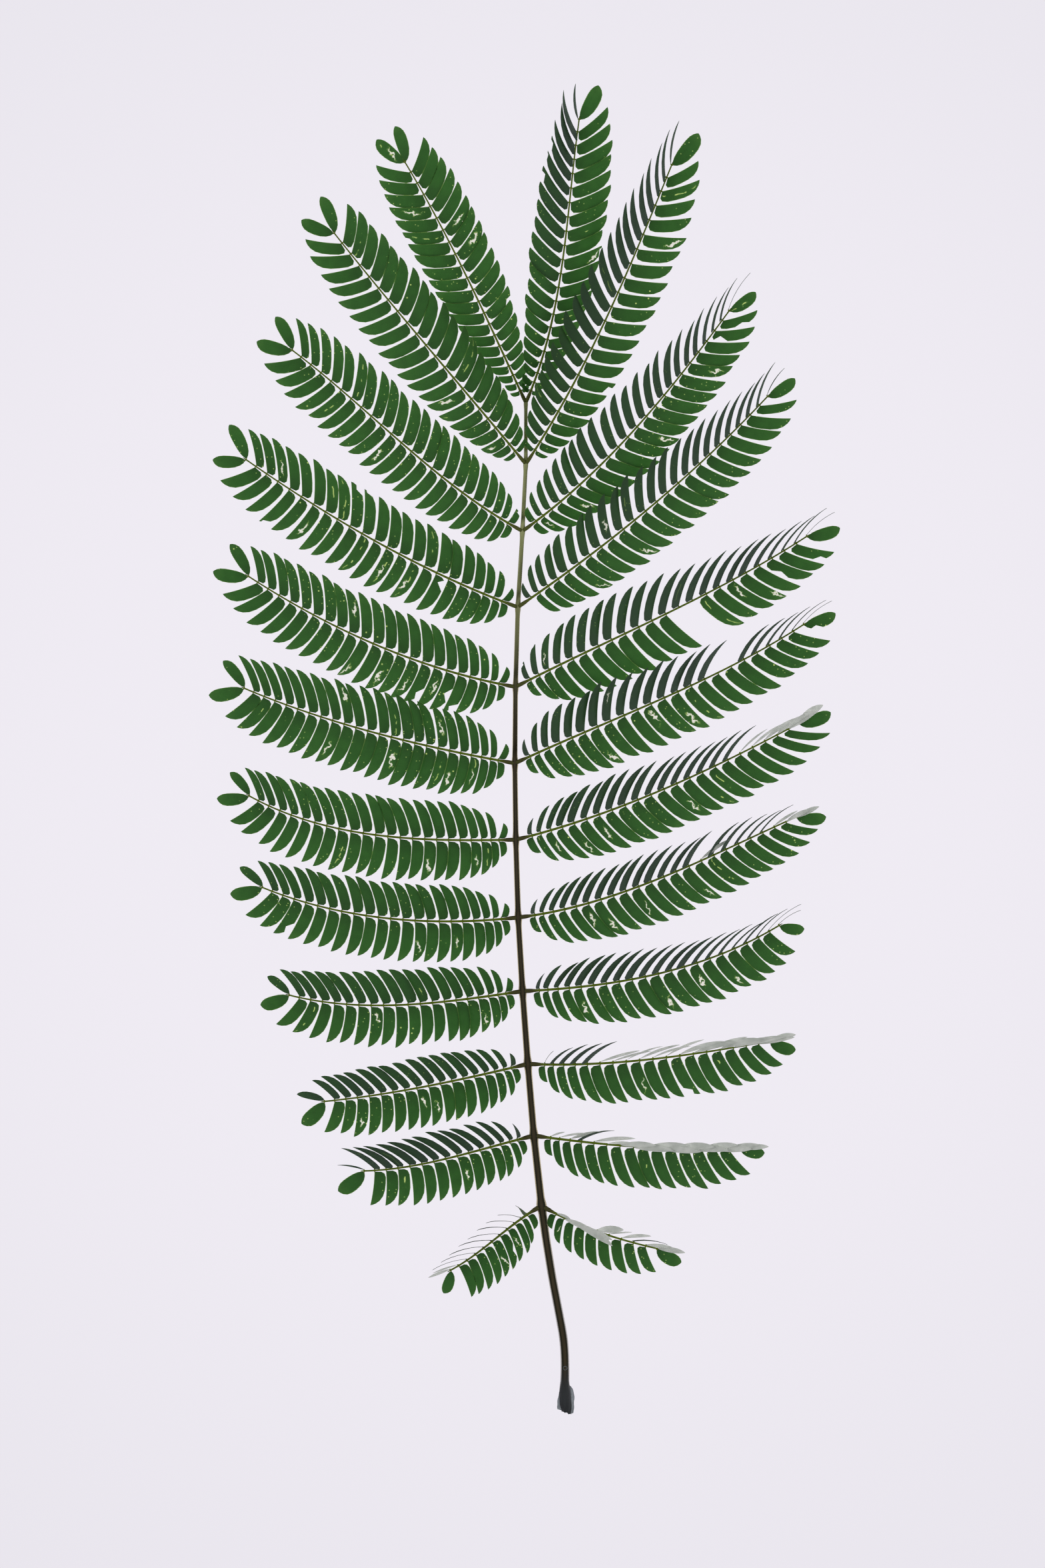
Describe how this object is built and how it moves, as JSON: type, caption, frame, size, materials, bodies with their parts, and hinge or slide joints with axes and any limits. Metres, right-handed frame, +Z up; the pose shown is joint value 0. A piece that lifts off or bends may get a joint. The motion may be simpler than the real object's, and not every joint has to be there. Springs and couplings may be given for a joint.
{
  "type": "bipinnate compound leaf",
  "caption": "A picked feathery compound leaf lying flat: a long central stalk with opposite side stalks, each edged with two rows of small narrow leaflets.",
  "frame": {"origin": "centre of the leaf's outline in plan, at the height of the surface it lies on", "axes": "+Y along the central stalk towards the leaf's tip, +Z up out of the leaf's upper face"},
  "size_m": [0.1907, 0.3978, 0.0097],
  "materials": {
    "leaf_green": "satin",
    "rachis_brown": "satin"
  },
  "bodies": {
    "root": {"rachis": "rachis_brown", "pinna_left_01": "leaf_green", "pinna_right_01": "leaf_green", "pinna_left_02": "leaf_green", "pinna_right_02": "leaf_green", "pinna_left_03": "leaf_green", "pinna_right_03": "leaf_green", "pinna_left_04": "leaf_green", "pinna_right_04": "leaf_green", "pinna_left_05": "leaf_green", "pinna_right_05": "leaf_green", "pinna_left_06": "leaf_green", "pinna_right_06": "leaf_green", "pinna_left_07": "leaf_green", "pinna_right_07": "leaf_green", "pinna_left_08": "leaf_green", "pinna_right_08": "leaf_green", "pinna_left_09": "leaf_green", "pinna_right_09": "leaf_green", "pinna_left_10": "leaf_green", "pinna_right_10": "leaf_green", "pinna_left_11": "leaf_green", "pinna_right_11": "leaf_green", "pinna_left_12": "leaf_green", "pinna_right_12": "leaf_green"}
  },
  "joints": []
}
